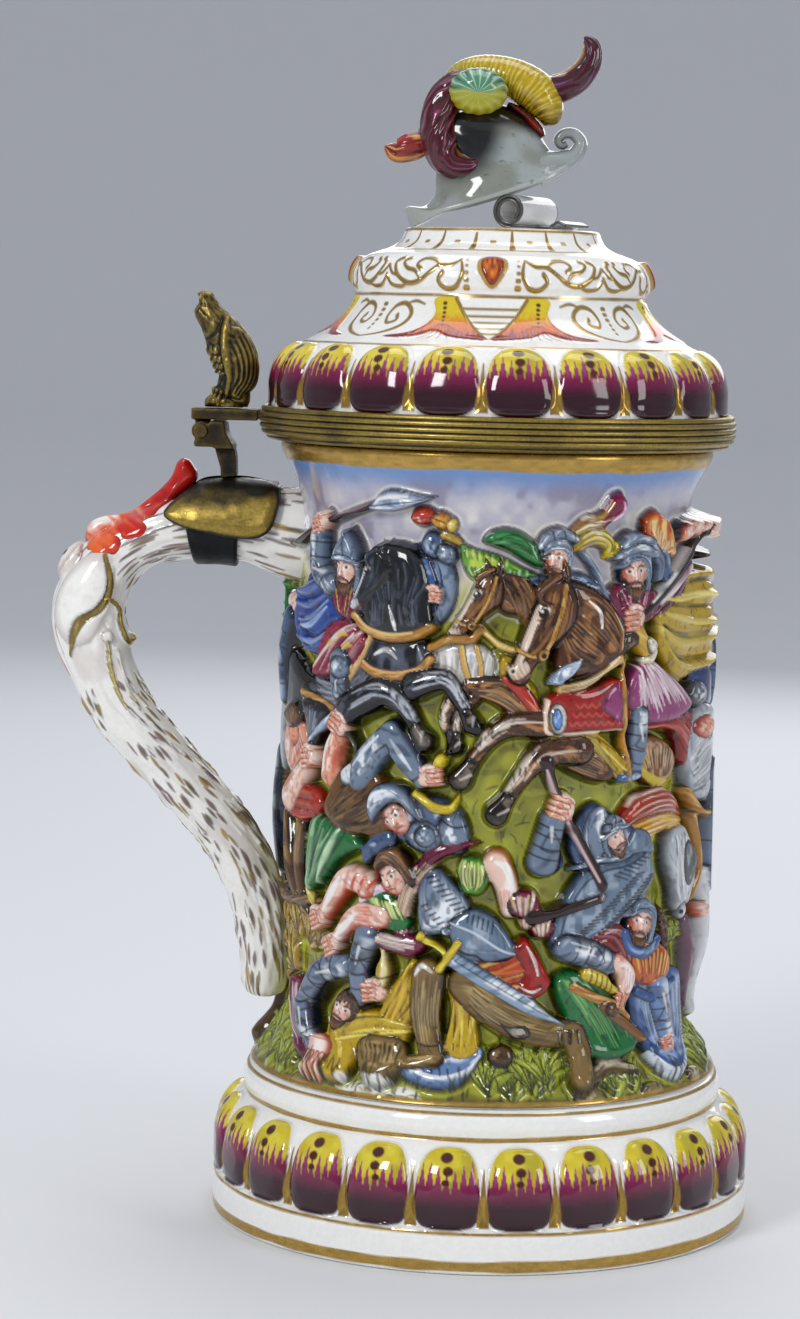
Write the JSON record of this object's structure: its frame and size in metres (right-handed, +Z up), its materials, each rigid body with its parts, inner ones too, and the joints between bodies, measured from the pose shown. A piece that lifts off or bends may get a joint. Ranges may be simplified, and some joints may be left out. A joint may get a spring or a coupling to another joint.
{
  "type": "beer stein",
  "caption": "Tall lidded porcelain beer stein with a moulded battle relief, bird's-head handle, hinged brass-mounted lid and helmet finial.",
  "frame": {"origin": "middle of the whole object's footprint, on the surface it stands on; the vessel's own axis is 25.1 mm towards +X of it", "axes": "+Z up along the vessel, the handle and hinge point to -X, the hinge pin lies along Y"},
  "size_m": [0.2075, 0.1572, 0.343],
  "materials": {
    "painted_porcelain": "hand-painted relief under a glossy clear glaze",
    "white_porcelain": "glossy white glaze with painted and gilded lines",
    "red_glaze": "glossy red glaze",
    "grey_glaze": "glossy grey glaze",
    "paper_white_glaze": "glossy white glaze with black lines",
    "crimson_glaze": "glossy crimson glaze with brush streaks",
    "orange_glaze": "glossy orange and red glaze",
    "green_glaze": "glossy green and yellow glaze",
    "yellow_glaze": "glossy yellow glaze with brown streaks",
    "old_brass": "aged brass with dark patina",
    "dark_brass": "blackened brass",
    "plaster": "matt plaster"
  },
  "bodies": {
    "tankard": {"tankard_body": "painted_porcelain", "foot": "white_porcelain", "handle": "white_porcelain", "handle_comb": "red_glaze", "strap_saddle": "old_brass", "strap_packing": "plaster", "strap_band": "dark_brass", "hinge_post": "old_brass", "hinge_pin": "old_brass"},
    "lid": {"lid_tang": "old_brass", "thumblift_eagle": "old_brass", "lid_ring": "old_brass", "lid_flange": "old_brass", "lid_bedding": "plaster", "lid_dome": "white_porcelain", "finial_helmet": "grey_glaze", "finial_scroll": "paper_white_glaze", "plume_crimson": "crimson_glaze", "plume_orange": "orange_glaze", "plume_green": "green_glaze", "crest_yellow": "yellow_glaze", "curl_crimson": "crimson_glaze", "helmet_strap": "red_glaze"}
  },
  "joints": [
    {"name": "lid_hinge", "type": "hinge", "parent": "tankard", "child": "lid", "pos_m": [-0.0603, 0, 0.227], "axis": [0, -1, 0], "range_deg": [0, 100]}
  ]
}
